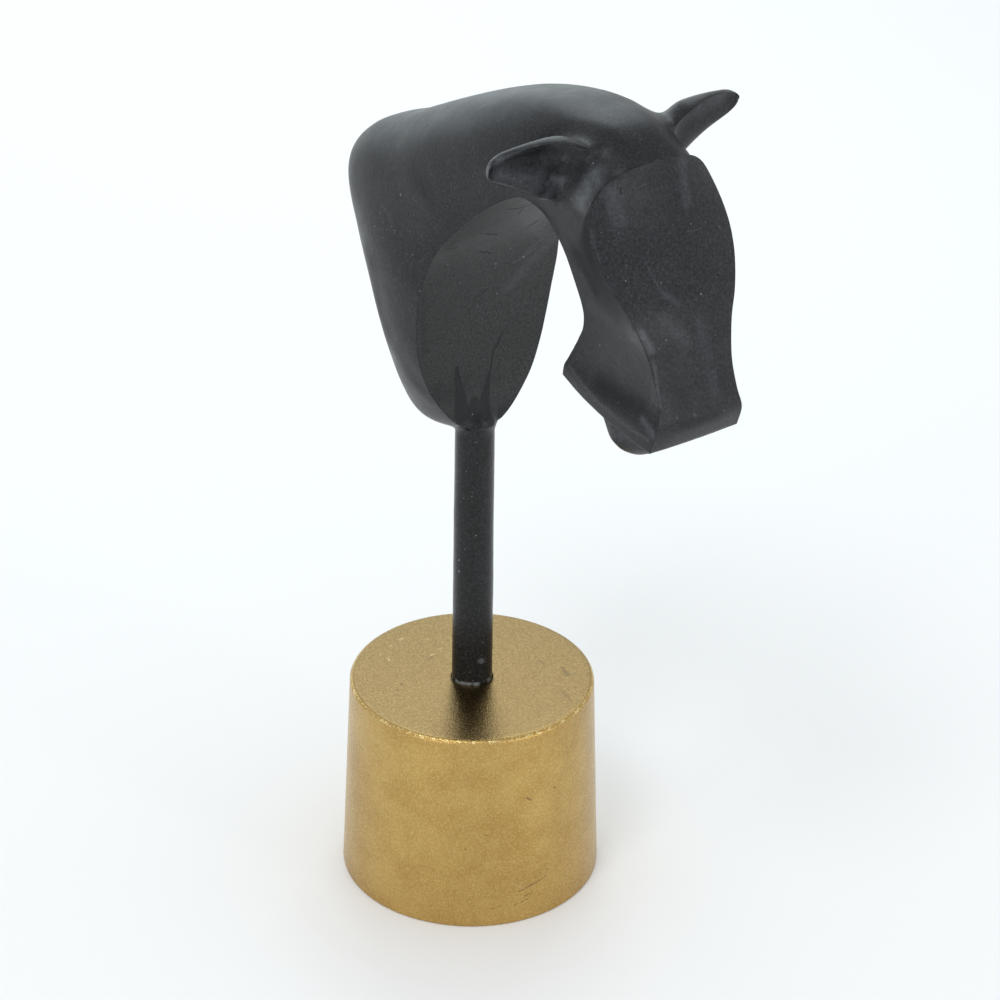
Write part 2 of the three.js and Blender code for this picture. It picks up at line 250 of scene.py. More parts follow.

# Marks that show on the photographed side. Each has its start and end place in millimetres, its reach at both
# of them, how much of the reach fades out, and its strength. They lie on surfaces that face forwards (the
# inner facet, the face plate and the ears' hollows), sideways, or up.
# Besides real cracks, pits, scratches and wear, many rows below are painted highlights, painted light and
# painted shade.
FORWARD_CRACKS_AND_PAINTED_SHADE = (
    ((5, -9.2, 191), (4, -11, 209), 4.1, 1.1, 0.35, 0.75),  # dark crown where the rod runs into the facet
    ((5, -0.8, 190), (4, 2.7, 203), 3.4, 0.8, 0.35, 0.75),
    ((5, -4.6, 190), (5, -4, 194.5), 3.8, 2.3, 0.35, 0.75),
    ((4, 2.7, 202), (4, 5.1, 213), 0.7, 0.4, 0.5, 0.8),
    ((4, 5.9, 212.5), (4, 8.8, 218), 0.75, 0.4, 0.59, 0.8),
    ((29, -9.6, 278.2), (27, -2.3, 276.2), 0.36, 0.46, 0.58, 0.95),  # cracks at the top of the facet
    ((27, -2.3, 276.2), (28, 2.3, 276.6), 0.46, 0.36, 0.58, 0.95),
    ((27, -1.1, 276.3), (21, 1.4, 269.5), 0.46, 0.3, 0.58, 0.95),
    ((17, 4.8, 265.4), (18, 8.6, 266.6), 0.2, 0.35, 0.6, 0.8),
    ((14, 10.3, 259.9), (15, 14, 262.5), 0.3, 0.45, 0.6, 0.9),
    ((16, -8.6, 264.2), (15, -2.3, 261.6), 0.36, 0.46, 0.58, 0.95),
    ((11, -6.7, 255), (10, -1.9, 253), 0.25, 0.35, 0.6, 0.8),
    ((14, -23.2, 261.5), (14, -18.8, 261), 0.3, 0.35, 0.6, 0.8),
    ((24, -23.5, 273), (28, -22.6, 276.5), 0.9, 0.9, 0.9, 0.55),
    ((6, -6, 234.6), (6, 0.7, 237.7), 0.2, 0.3, 0.5, 0.8),
    ((11, 17.2, 255.3), (12, 21.4, 257.6), 0.2, 0.2, 0.6, 0.7),
    ((8, -27.4, 244), (4, -24.7, 220), 2.5, 2.5, 1, 0.3),  # darker left edge of the facet
    ((95, -14.2, 311.8), (95.5, -14.1, 310.2), 0.35, 0.55, 0.7, 0.8),  # pits on the brow
    ((94.5, -17.6, 310), (94.6, -18, 309), 0.6, 0.45, 0.7, 0.8),
    ((94.6, -20.1, 307.3), (94.8, -20, 306), 0.4, 0.5, 0.7, 0.7),
    ((96, -17.5, 306.5), (96, -17.9, 305.4), 0.4, 0.45, 0.7, 0.7),
    ((99, -7, 304.2), (99, -7, 303), 0.8, 0.8, 0.9, 0.5),
    ((96, -8.5, 314), (97, -1.5, 313), 6, 5.5, 1, 0.3),  # darker brow and nose: painted shade between the highlight bands
    ((117, -10, 261), (122, -7, 245), 8.5, 7.5, 1, 0.4),
    ((123, -8, 238), (123, 6, 238), 3, 3, 1, 0.6),
    ((90, -8.5, 321), (93, -1, 320), 4.5, 4, 1, 0.25),
    ((74, -24.5, 319.5), (75, -22.8, 318.9), 1.7, 1.1, 0.7, 0.6),  # rough notch in the near ear
    ((73, -26, 312.5), (75, -21.5, 315), 1.7, 1.9, 0.8, 0.6),
    # painted shadow in the slot under the near ear's upper rim
    ((75, -43, 320.4), (74.5, -25, 320), 1.3, 2, 0.8, 0.8),
    ((72, 32, 315), (72, 32, 313), 1.2, 0.8, 0.7, 0.75),  # notch and groove at the far ear
    ((83, 23, 322.5), (82, 26.3, 323.5), 0.6, 0.3, 0.6, 0.6),
    ((85, 10, 323), (93, 10.4, 318.5), 1.1, 1.5, 1, 0.5),
)
FORWARD_WEAR_AND_PAINTED_LIGHT = (
    ((8, 10, 245), (9, 18.6, 248.8), 0.4, 0.5, 0.9, 0.5),  # lighter streaks on the facet, with painted light over its upper and far part
    ((6, 9, 235), (10, 26, 251.5), 3.6, 4.4, 1, 0.24),
    ((22, 1.5, 271), (9, 25, 250), 4, 4, 1, 0.26),
    ((8, 13.7, 247.7), (10, 21.8, 253), 1.1, 1.1, 1, 0.35),
    ((8, 1.8, 247.3), (8, 2, 247.1), 0.45, 0.45, 0.4, 1.0),
    ((94, -17, 310.5), (98, -16.5, 303), 4.4, 4.8, 1, 0.34),  # painted highlight bands on the brow and nose
    ((95, 10.5, 316), (99, 10, 302), 3.2, 3, 1, 0.36),
    ((114, 4.2, 268), (123, 5.7, 245), 4.6, 5.2, 1, 0.2),
    ((106, -10.7, 287.7), (110, -8.6, 281), 0.6, 0.7, 0.9, 0.22),  # scratches across the nose
    ((110, -8.7, 280.5), (113, -3, 275.5), 1.8, 1.6, 1, 0.3),
    ((113, -9, 272), (117, -2.5, 264), 4, 4, 1, 0.24),
    ((123, -3.5, 241), (123, -2.9, 240.2), 0.75, 0.7, 0.9, 0.5),
    ((102, 21.3, 292), (102, 21.5, 291.4), 0.5, 0.5, 0.7, 0.6),
    ((102, 13.7, 293.6), (103, 7, 294.3), 0.3, 0.3, 0.7, 0.3),
    ((113, -18, 270), (115, -15.6, 264), 1.9, 2.2, 1, 0.75),  # painted highlight along the left edge of the plate
    ((117, -15, 260), (120, -15.2, 246), 1.1, 0.9, 1, 0.4),
    ((95, -25.3, 300.5), (101, -25.6, 291.5), 0.6, 0.6, 0.9, 0.22),
    ((74, -27, 307.5), (74, -25.5, 309.3), 0.8, 1.1, 0.8, 0.75),  # painted highlight on the fold at the ear's root
    ((74, -25, 309.7), (75, -21.5, 308.8), 1.1, 0.9, 0.8, 0.95),
    ((73, -45, 315.5), (72.5, -30, 309.5), 4, 6.5, 1, 0.5),  # painted light on the lower wall and upper band inside the near ear, and over the shaded crease at its root
    ((75, -46.5, 321.5), (78, -35, 324.5), 2.4, 1.8, 0.8, 1),
    ((73, -26, 303), (74, -23, 309), 3.2, 3.2, 1, 0.5),
    ((75, -49.8, 321), (75, -49.8, 316), 0.5, 0.5, 0.6, 0.9),  # worn tips of the ears
    ((75, 49.8, 321), (75, 49.8, 316), 0.5, 0.5, 0.6, 0.9),
    # painted light over the far ear
    ((75, 43, 321), (75, 29, 318), 4.5, 4.5, 1, 0.42),
)
SIDE_SPOTS_AND_PAINTED_SHADE = (
    ((-23, -27, 244), (-17, -27, 220), 10, 11, 1, 0.85),  # painted shade on the flank of the neck
    ((-9, -26, 214), (4, -22, 201), 7, 6, 1, 0.45),
    ((0, -27, 287), (11, -27, 282), 8, 7, 1, 0.6),
    ((73, -13, 280), (83, -14, 271.5), 6, 5, 1, 0.9),  # painted shade in the hollow of the cheek, and small dark spots
    ((89, -15, 241.5), (112, -16, 243), 6, 6, 1, 0.8),
    ((111, -20, 272), (110, -19, 269.7), 0.5, 0.5, 0.5, 0.8),
    ((75, -21, 311), (77, -20, 313), 1.5, 1.1, 0.8, 0.6),
    ((-5, -18, 297.3), (-3.8, -17.5, 298.6), 0.3, 0.2, 0.6, 0.7),
)
SIDE_WEAR_AND_PAINTED_LIGHT = (
    ((78, -12, 263), (93.5, -15, 265), 4.5, 4.5, 1, 0.2),  # painted light on the lower cheek and by the muzzle, and a light line at the corner of the mouth
    ((106.5, -17, 265), (109.5, -17.5, 265.6), 0.3, 0.3, 0.5, 0.7),
    ((114, -17, 239.5), (120, -17.5, 237), 1.9, 2.3, 0.9, 0.5),
    ((87, -18.5, 313.5), (81, -20, 302), 5.5, 5, 1, 1),  # painted highlight on the temple
    ((97, -13, 227), (107, -15, 223), 4, 3.5, 1, 0.5),  # painted light under the chin
    # painted highlight on the fold at the ear's root
    ((74.5, -21.5, 308.5), (75, -20.5, 305.5), 0.8, 0.5, 0.8, 0.55),
    ((76, -21, 318), (76.5, -20, 315.5), 0.9, 0.8, 0.8, 0.45),
    ((70, -13, 239), (96, -18, 235.5), 0.8, 1, 1, 0.3),  # painted highlight along the ridge of the jaw
    ((96, -18, 235.5), (118, -18, 234), 1, 1.1, 1, 0.35),
    ((-15.6, -28, 268), (-1.6, -28, 261), 0.4, 0.2, 0.9, 0.3),  # scratches on the neck
    ((-23.5, -28, 258.5), (-18.3, -28, 258), 0.3, 0.2, 0.9, 0.35),
    ((-4.3, -28, 266), (0.4, -28, 264), 0.3, 0.2, 0.9, 0.35),
    ((23, -26, 292.4), (27, -26, 292), 0.3, 0.2, 0.9, 0.35),
    ((7.1, -1.5, 89.4), (7.3, -1, 87.6), 0.45, 0.35, 0.9, 0.9),  # flecks low on the rod
    ((5.5, -5.5, 84.4), (5.5, -5.4, 84), 0.3, 0.3, 0.9, 0.8),
)
DRUM_TOP_DARK = (
    ((14.7, 30.4, 78.5), (19.6, 29, 78.5), 1.1, 1.5, 0.8, 0.6),  # stain
    ((20.3, 27.6, 78.5), (20.2, 32.3, 78.5), 1.1, 0.8, 0.9, 0.5),
    ((27.1, 20.7, 78.5), (34.5, 19.6, 78.5), 1.9, 1.1, 1, 0.35),
    ((20.9, 19, 78.5), (24.5, 21.7, 78.5), 1.1, 0.8, 1, 0.3),
    ((6.6, 26, 78.5), (9.1, 26, 78.5), 0.5, 0.5, 0.7, 0.6),
    ((-9.6, -24.8, 78.5), (-8.9, -24.4, 78.5), 0.5, 0.4, 0.6, 0.8),  # pits
    ((-7.1, -28.3, 78.5), (-6.6, -28.2, 78.5), 0.5, 0.4, 0.6, 0.8),
    ((-18.7, -4.3, 78.5), (-17.3, -7.1, 78.5), 0.4, 0.4, 0.6, 0.8),
    ((-31.6, -19.2, 78.5), (-31, -19.8, 78.5), 0.4, 0.3, 0.6, 0.7),
    ((-26.2, -19.6, 78.5), (-25.8, -19.4, 78.5), 0.5, 0.4, 0.6, 0.6),
)
DRUM_TOP_LIGHT = (
    ((-29.7, 0.8, 78.5), (-28.7, 1, 78.5), 0.45, 0.4, 0.6, 0.8),  # chips
    ((-35, -8.2, 78.5), (-35.4, -6.1, 78.5), 0.5, 0.5, 0.7, 0.7),
    ((-33.5, -13.3, 78.5), (-33.6, -12.3, 78.5), 0.4, 0.4, 0.6, 0.7),
    ((-26.4, -19, 78.5), (-25.6, -19.1, 78.5), 0.55, 0.45, 0.6, 0.9),
    ((-31.7, -19.4, 78.5), (-30.2, -19.6, 78.5), 0.35, 0.35, 0.6, 0.7),
    ((-19.7, -4.5, 78.5), (-19.5, -3.7, 78.5), 0.6, 0.5, 0.6, 1),
    ((-21.4, 0.4, 78.5), (-21.4, 1.7, 78.5), 0.35, 0.35, 0.6, 0.8),
)
DRUM_SIDE_DARK = (
    ((45.7, -11, 12.9), (46.6, -5.8, 14.9), 0.3, 0.4, 0.6, 0.6),  # scratches low on the front
    ((46.5, -6.7, 14.3), (46.9, 0.2, 16.1), 0.35, 0.3, 0.6, 0.65),
    ((46.6, -5, 17.2), (46.7, -2, 18.3), 0.25, 0.25, 0.6, 0.5),
    ((45.3, -13.3, 7.4), (46.5, -7.9, 9), 0.3, 0.3, 0.6, 0.5),
    ((42.1, -21.4, 7.1), (43.8, -17.6, 8.3), 0.25, 0.25, 0.6, 0.4),
    ((46.3, -8.7, 10.6), (46.7, -5.9, 11), 0.3, 0.25, 0.6, 0.5),
    ((44.9, -7.7, 52.3), (45.1, -6, 51), 0.35, 0.35, 0.6, 0.7),  # pits
    ((45.3, 4.1, 52.8), (45.3, 4.6, 52.1), 0.35, 0.3, 0.6, 0.7),
    ((40.3, -22.3, 39.4), (40.4, -22, 39), 0.35, 0.3, 0.6, 0.6),
)
DRUM_SIDE_LIGHT = (
    ((45.2, -12.5, 16.8), (46.2, -8.7, 13.6), 0.3, 0.3, 0.7, 0.7),
    ((46.6, -3.3, 20.9), (46.6, -1.1, 22.3), 0.3, 0.3, 0.8, 0.6),
    ((43.5, -16, 29.2), (44.4, -13.5, 27.8), 0.3, 0.3, 0.8, 0.4),
    ((31.9, -33.5, 32.2), (32.8, -32.7, 31.9), 0.35, 0.3, 0.8, 0.6),
)

# A mark is measured along the surface it lies on, hardly across it.
FORWARDS = (0.15, 1, 1)
SIDEWAYS = (1, 0.15, 1)
UPWARDS = (1, 1, 0.15)
ALL_WAYS = (1, 1, 1)

CASTING_MARKS = {
    "dark": ((FORWARDS, FORWARD_CRACKS_AND_PAINTED_SHADE), (SIDEWAYS, SIDE_SPOTS_AND_PAINTED_SHADE)),
    "light": ((FORWARDS, FORWARD_WEAR_AND_PAINTED_LIGHT), (SIDEWAYS, SIDE_WEAR_AND_PAINTED_LIGHT)),
}
DRUM_MARKS = {
    "dark": ((UPWARDS, DRUM_TOP_DARK), (ALL_WAYS, DRUM_SIDE_DARK)),
    "light": ((UPWARDS, DRUM_TOP_LIGHT), (ALL_WAYS, DRUM_SIDE_LIGHT)),
}

# The casting's finish draws the marks that reach less far or fade faster than this. Its mesh keeps the rest.
FINE_REACH = 0.8
FINE_SOFTNESS = 0.6

# Inputs that the node trees share
SKIN_INPUTS = [
    ("Wave depth", "Float"), ("Wave scale", "Float"), ("Grain depth", "Float"), ("Grain scale", "Float"),
    ("Seed", "Float"), ("Finish", "Material"),
]
STROKE_SIZES = ("Start reach", "End reach", "Softness", "Strength")


def read_along(rows, shares):
    """Smooth curve through rows of numbers, read at shares from 0 to 1 along them."""
    last = len(rows) - 1
    place = np.clip(shares, 0, 1) * last
    i = np.minimum(place.astype(int), last - 1)
    t = (place - i)[:, None]
    b, c = rows[i], rows[i + 1]
    a = np.where((i > 0)[:, None], rows[np.maximum(i - 1, 0)], 2 * b - c)
    d = np.where((i < last - 1)[:, None], rows[np.minimum(i + 2, last)], 2 * c - b)
    bend = 2 * a - 5 * b + 4 * c - d
    twist = 3 * b - a - 3 * c + d
    return b + 0.5 * t * (c - a + t * (bend + t * twist))


def crowded(count, amount=CROWDING):
    """Shares from 0 to 1 in count steps, closer together towards both ends."""
    share = np.linspace(0, 1, count + 1)
    return share - amount * np.sin(2 * np.pi * share) / (2 * np.pi)


def even_shares(rows, count, path_of):
    """Shares along the rows at which the surface's path has even steps."""
    fine = np.linspace(0, 1, PATH_SAMPLES)
    steps = sum(np.linalg.norm(np.diff(path, axis=0), axis=1) for path in path_of(read_along(rows, fine)))
    length = np.concatenate([[0], np.cumsum(steps + LEAST_STEP)])
    return np.interp(np.linspace(0, length[-1], count), length, fine)


def side_of(inner_half, outer_half, middle_half, rim_half, length):
    """Shares along a slice and half widths there, down one of its sides, from its inner to its outer end."""
    p = SIDE_FULLNESS
    aim = max(rim_half, outer_half)
    cut = min(outer_half / aim, WIDEST_CUT)
    reach = (1 - cut ** p) ** (-1 / p)
    if outer_half > 0:
        aim = max(aim, outer_half / (1 - reach ** -p) ** (1 / p))
    last_angle = math.asin(reach ** (-p / 2))
    t = reach * np.sin(last_angle * np.linspace(0, 1, SIDE_SAMPLES)) ** (2 / p)
    t[-1] = 1
    fall = np.maximum(0, 1 - (t / reach) ** p) ** (1 / p)
    half = (inner_half * (1 - t) * (1 - 2 * t) + middle_half * 4 * t * (1 - t) + aim * t * (2 * t - 1)) * fall
    half[-1] = outer_half
    run = np.concatenate([[0], np.cumsum(np.hypot(np.diff(t) * length, np.diff(half)))])
    at = crowded(SIDE_COLUMNS) * run[-1]
    return np.interp(at, run, t), np.interp(at, run, half)


def slice_of(values):
    """One ring round the horse: right side, face plate, left side and inner facet."""
    inner_x, inner_z, inner_half, outer_x, outer_z, outer_half, middle_half, rim_half, crown = values
    outer_half = max(outer_half, 0)
    along = np.array([outer_x - inner_x, 0, outer_z - inner_z])
    t, half = side_of(inner_half, outer_half, middle_half, rim_half, np.linalg.norm(along))
    right = np.array([inner_x, 0, inner_z]) + t[:, None] * along
    right[:, 1] = -half
    left = right[::-1] * (1, -1, 1)
    share = 2 * crowded(ACROSS_COLUMNS)[1:-1, None] - 1
    swell = crown * (1 - share ** 2) if outer_half > 0 else 0 * share
    facing = np.array([PLATE_FACING[0], 0, PLATE_FACING[1]])
    plate = np.array([outer_x, 0, outer_z]) + swell * facing + share * (0, outer_half, 0)
    facet = np.array([inner_x, 0, inner_z]) - share * (0, inner_half, 0)
    return np.concatenate([right, plate, left, facet])


def chin_drop(forward, sideways):
    along = np.abs((forward - CHIN_CENTRE) / CHIN_HALF_LENGTH) ** CHIN_FULLNESS
    across = np.abs(sideways / CHIN_HALF_WIDTH) ** CHIN_FULLNESS
    return CHIN_DEPTH * np.sqrt(np.maximum(0, 1 - along - across))


def wall(rings, per_ring):
    """Four-sided faces between neighbouring rings that are listed one after another."""
    low = (np.arange(rings - 1) * per_ring)[:, None] + np.arange(per_ring)
    low_next = (np.arange(rings - 1) * per_ring)[:, None] + (np.arange(per_ring) + 1) % per_ring
    return np.stack([low, low + per_ring, low_next + per_ring, low_next], -1).reshape(-1, 4).tolist()


def horse_body():
    """Points and faces of the neck and head."""
    def ends(values):
        return values[:, [0, 1]], values[:, [3, 4]]
    slices = [slice_of(v) for v in read_along(STATIONS, even_shares(STATIONS, RINGS, ends))]
    per_ring = len(slices[0])
    points = list(np.concatenate(slices))
    faces = wall(RINGS, per_ring)
    centre = len(points)
    points.append(np.array([0, 0, (STATIONS[0][1] + STATIONS[0][4]) / 2]))
    faces += [[centre, j, (j + 1) % per_ring] for j in range(per_ring)]
    # The jaw's flat end is a grid from the inner facet to the face plate, and the chin swells down out of it.
    jaw = (RINGS - 1) * per_ring
    left_end = 2 * SIDE_COLUMNS + ACROSS_COLUMNS
    share = 2 * crowded(ACROSS_COLUMNS)[1:-1] - 1
    rows = []
    for j in range(SIDE_COLUMNS + 1):
        if j == 0:
            inside = [jaw + per_ring - k for k in range(1, ACROSS_COLUMNS)]
        elif j == SIDE_COLUMNS:
            inside = [jaw + SIDE_COLUMNS + k for k in range(1, ACROSS_COLUMNS)]
        else:
            near = points[jaw + j]
            inside = list(range(len(points), len(points) + len(share)))
            for sideways in -near[1] * share:
                points.append(np.array([near[0], sideways, near[2] - chin_drop(near[0], sideways)]))
        rows.append([jaw + j, *inside, jaw + left_end - j])
    for a, b in zip(rows, rows[1:]):
        faces += [[a[k], a[k + 1], b[k + 1], b[k]] for k in range(ACROSS_COLUMNS)]
    return np.array(points) + (0, 0, NECK_FOOT), faces


def ear(side):
    """Points and faces of one ear: side is 1 for the horse's left and -1 for its right."""
    def rims(values):
        return values[:, [1, 0, 2]], values[:, [3, 0, 4]]
    back_angle = np.pi * crowded(EAR_BACK_COLUMNS, EAR_CROWDING)
    hollow_angle = np.pi * crowded(EAR_HOLLOW_COLUMNS, EAR_CROWDING)[1:-1]
    hollow_shape = np.sin(hollow_angle) - EAR_HOLLOW_LEAN * np.sin(2 * hollow_angle)
    hollow_shape = hollow_shape / (1 + EAR_HOLLOW_LEAN / 2)
    along = np.concatenate([np.cos(back_angle), -EAR_HOLLOW_INSET * np.cos(hollow_angle)])
    rings = []
    shares = even_shares(EAR_SLICES, EAR_RINGS, rims)
    for out, up_x, up_z, low_x, low_z, back, hollow in read_along(EAR_SLICES, shares):
        middle = np.array([(up_x + low_x) / 2, side * out, (up_z + low_z) / 2])
        half = np.array([(up_x - low_x) / 2, 0, (up_z - low_z) / 2])
        backwards = np.array([-half[2], 0, half[0]]) / np.linalg.norm(half)
        back_shape = np.maximum(np.sin(back_angle), 0) ** EAR_BACK_FULLNESS
        off = np.concatenate([back * back_shape, hollow * hollow_shape])
        rings.append(middle + along[:, None] * half + off[:, None] * backwards)
    per_ring = len(rings[0])
    points = np.concatenate([*rings, [rings[0].mean(0)], [rings[-1].mean(0)]])
    faces = wall(EAR_RINGS, per_ring)
    root, tip = len(points) - 2, len(points) - 1
    end = (EAR_RINGS - 1) * per_ring
    for j in range(per_ring):
        after = (j + 1) % per_ring
        faces += [[root, j, after], [tip, end + after, end + j]]
    if side < 0:
        faces = [face[::-1] for face in faces]
    return points + (0, 0, NECK_FOOT), faces


def new_object(name, data):
    made = bpy.data.objects.new(name, data)
    bpy.context.scene.collection.objects.link(made)
    return made


def mesh_object(name, points, faces, weld=0.0):
    """An object from points in millimetres, with points closer than weld made one."""
    mesh = bpy.data.meshes.new(name)
    mesh.from_pydata([Vector(p) * MM for p in points], [], faces)
    piece = new_object(name, mesh)
    if weld:
        modifier = piece.modifiers.new("weld", "WELD")
        modifier.merge_threshold = weld * MM
        settle(piece)
    return piece


def settle(piece):
    """Turns a piece and its modifiers into a plain mesh."""
    made = bpy.data.meshes.new_from_object(piece.evaluated_get(bpy.context.evaluated_depsgraph_get()))
    piece.modifiers.clear()
    old = piece.data
    piece.data = made
    made.name = piece.name
    bpy.data.meshes.remove(old)


def remove(piece):
    mesh = piece.data
    bpy.data.objects.remove(piece)
    bpy.data.meshes.remove(mesh)


# Node helpers, for geometry and for materials


def add(tree, kind, values=(), **settings):
    """Adds a node. Each input in values gets a number, or a socket that is joined to it."""
    node = tree.nodes.new(kind)
    for key, value in settings.items():
        setattr(node, key, value)
    for key, value in dict(values).items():
        if isinstance(value, bpy.types.NodeSocket):
            tree.links.new(value, node.inputs[key])
        else:
            node.inputs[key].default_value = value
    return node


def maths(tree, operation, a, b=0.0):
    return add(tree, "ShaderNodeMath", {0: a, 1: b}, operation=operation).outputs[0]


def times(tree, a, b):
    return maths(tree, "MULTIPLY", a, b)


def stronger(tree, a, b):
    return maths(tree, "MAXIMUM", a, b)


def less(tree, a, b):
    return maths(tree, "SUBTRACT", a, b)


def axes_of(tree, vector):
    return add(tree, "ShaderNodeSeparateXYZ", {0: vector}).outputs


def vector_maths(tree, operation, a, b, output="Vector"):
    return add(tree, "ShaderNodeVectorMath", {0: a, 1: b}, operation=operation).outputs[output]


def noise(tree, place, scale, detail, roughness=0.5):
    values = {"Vector": place, "Scale": scale, "Detail": detail, "Roughness": roughness}
    return add(tree, "ShaderNodeTexNoise", values).outputs[0]


def between(tree, value, low, high, at_low=0.0, at_high=1.0):
    """Brings a value that goes from low to high smoothly to another range, and stops at its ends."""
    values = {"Value": value, "From Min": low, "From Max": high, "To Min": at_low, "To Max": at_high}
    return add(tree, "ShaderNodeMapRange", values, interpolation_type="SMOOTHSTEP").outputs[0]


def mixed(tree, share, a, b):
    """A colour that goes from a to b as share goes from 0 to 1."""
    return add(tree, "ShaderNodeMix", {0: share, 6: a, 7: b}, data_type="RGBA").outputs[2]


def new_tree(name, inputs, output="Geometry", kind="GeometryNodeTree"):
    """A tree with one output and named inputs, each (name, kind of socket)."""
    tree = bpy.data.node_groups.new(name, kind)
    for label, socket in inputs:
        tree.interface.new_socket(label, in_out="INPUT", socket_type="NodeSocket" + socket)
    tree.interface.new_socket(output, in_out="OUTPUT", socket_type="NodeSocket" + output)
    return tree, tree.nodes.new("NodeGroupInput").outputs


def end_tree(tree, geometry, given):
    """Gives a tree's surface its waves, grain and finish, and hands it out."""
    real = add(tree, "GeometryNodeRealizeInstances", {"Geometry": relief(tree, geometry, given)}).outputs[0]
    done = add(tree, "GeometryNodeSetMaterial", {"Geometry": real, "Material": given["Finish"]}).outputs[0]
    tree.links.new(done, tree.nodes.new("NodeGroupOutput").inputs[0])


def run_tree(piece, tree, values):
    """Puts a tree on a piece with its named inputs set, and settles the result."""
    modifier = piece.modifiers.new(tree.name, "NODES")
    modifier.node_group = tree
    for item in tree.interface.items_tree:
        if item.name in values:
            modifier[item.identifier] = values[item.name]
    settle(piece)


def relief(tree, geometry, given):
    """Moves a surface in and out by two layers of noise, its waves and its grain."""
    place = add(tree, "GeometryNodeInputPosition").outputs[0]
    offset = 0.0
    for layer in ("Wave", "Grain"):
        values = {"Vector": place, "Scale": given[layer + " scale"],
                  "Detail": SKIN_DETAIL, "W": given["Seed"]}
        wave = add(tree, "ShaderNodeTexNoise", values, noise_dimensions="4D").outputs[0]
        height = times(tree, less(tree, wave, 0.5), given[layer + " depth"])
        offset = maths(tree, "ADD", offset, height)
    normal = add(tree, "GeometryNodeInputNormal").outputs[0]
    push = add(tree, "ShaderNodeVectorMath", {0: normal, "Scale": offset}, operation="SCALE").outputs[0]
    return add(tree, "GeometryNodeSetPosition", {"Geometry": geometry, "Offset": push}).outputs[0]


def turned_tree():
    """Turns a profile of points (radius, 0, height) about the upright axis."""
    tree, given = new_tree("turned", [
        ("Profile", "Geometry"), ("Steps", "Int"), ("Profile points", "Int"), ("Weld distance", "Float"),
        *SKIN_INPUTS,
    ])
    around = maths(tree, "ADD", given["Steps"], 1)
    sheet = add(tree, "GeometryNodeMeshGrid", {"Vertices X": around, "Vertices Y": given["Profile points"]})
    index = add(tree, "GeometryNodeInputIndex").outputs[0]
    step = maths(tree, "FLOOR", maths(tree, "DIVIDE", index, given["Profile points"]))
    row = maths(tree, "MODULO", index, given["Profile points"])
    place = add(tree, "GeometryNodeInputPosition").outputs[0]
    values = {"Geometry": given["Profile"], "Value": place, "Index": row}
    read = add(tree, "GeometryNodeSampleIndex", values, data_type="FLOAT_VECTOR").outputs[0]
    radius, _, height = axes_of(tree, read)
    angle = maths(tree, "DIVIDE", times(tree, step, 2 * math.pi), given["Steps"])
    forward = times(tree, radius, maths(tree, "COSINE", angle))
    sideways = times(tree, radius, maths(tree, "SINE", angle))
    spot = add(tree, "ShaderNodeCombineXYZ", {0: forward, 1: sideways, 2: height}).outputs[0]
    values = {"Geometry": sheet.outputs["Mesh"], "Position": spot}
    shape = add(tree, "GeometryNodeSetPosition", values).outputs[0]
    values = {"Geometry": shape, "Distance": given["Weld distance"]}
    closed = add(tree, "GeometryNodeMergeByDistance", values).outputs[0]
    end_tree(tree, closed, given)
    return tree


def cast_skin_tree():
    """Gives a smooth shape the slight waves and grain of a hand-finished casting."""
    tree, given = new_tree("cast skin", [("Casting", "Geometry"), *SKIN_INPUTS])
    end_tree(tree, given["Casting"], given)
    return tree


def corner_arc(radius, height, rounding, start, end):
    angle = np.radians(np.linspace(start, end, CORNER_STEPS + 1))
    return np.column_stack([radius + rounding * np.cos(angle), height + rounding * np.sin(angle)]).tolist()


def divided(profile, step):
    """The same profile with its long straight runs divided into steps."""
    fine = [profile[0]]
    for a, b in zip(profile, profile[1:]):
        count = max(1, round(math.dist(a, b) / step))
        for k in range(1, count + 1):
            fine.append([a[0] + (b[0] - a[0]) * k / count, a[1] + (b[1] - a[1]) * k / count])
    return fine


def drum_profile():
    seat_radius = ROD_FOOT_RADIUS + SEAT_CLEARANCE
    seat_floor = DRUM_HEIGHT - SEAT_DEPTH
    low, high = DRUM_BOTTOM_ROUNDING, DRUM_TOP_ROUNDING
    return divided([
        [0, 0],
        *corner_arc(DRUM_BOTTOM_RADIUS - low, low, low, -90, 0),
        *corner_arc(DRUM_TOP_RADIUS - high, DRUM_HEIGHT - high, high, 0, 90),
        [seat_radius + SEAT_RING, DRUM_HEIGHT],
        [seat_radius, DRUM_HEIGHT - SEAT_RING_DEPTH],
        [seat_radius, seat_floor],
        [0, seat_floor],
    ], DRUM_PROFILE_STEP)


def rod_profile():
    foot = DRUM_HEIGHT - SEAT_DEPTH + SEAT_CLEARANCE
    share = np.linspace(0, 1, FLARE_STEPS + 1)
    flare = np.column_stack([
        ROD_NECK_RADIUS + (ROD_FLARE_RADIUS - ROD_NECK_RADIUS) * share ** 2,
        NECK_FOOT - ROD_FLARE_LENGTH * (1 - share),
    ]).tolist()
    root = NECK_FOOT + ROD_ROOT_LENGTH
    outline = [[0, foot], [ROD_FOOT_RADIUS, foot], [ROD_FOOT_RADIUS, DRUM_HEIGHT], *flare]
    return divided([*outline, [ROD_ROOT_RADIUS, root], [0, root]], ROD_PROFILE_STEP)


def turned_piece(name, profile, steps, tree, skin=()):
    """A piece turned from its profile by the tree, with a skin's waves, grain and finish if it gets one."""
    piece = mesh_object(name, [(radius, 0, height) for radius, height in profile], [])
    sizes = {"Steps": steps, "Profile points": len(profile), "Weld distance": TURNED_WELD * MM}
    run_tree(piece, tree, {**sizes, **dict(skin)})
    return piece


def flatten_underside(piece):
    """Makes the face that the piece stands on flat again, a hair above the floor."""
    for vertex in piece.data.vertices:
        if vertex.co.z < UNDERSIDE_BAND * MM:
            vertex.co.z = UNDERSIDE_LIFT * MM


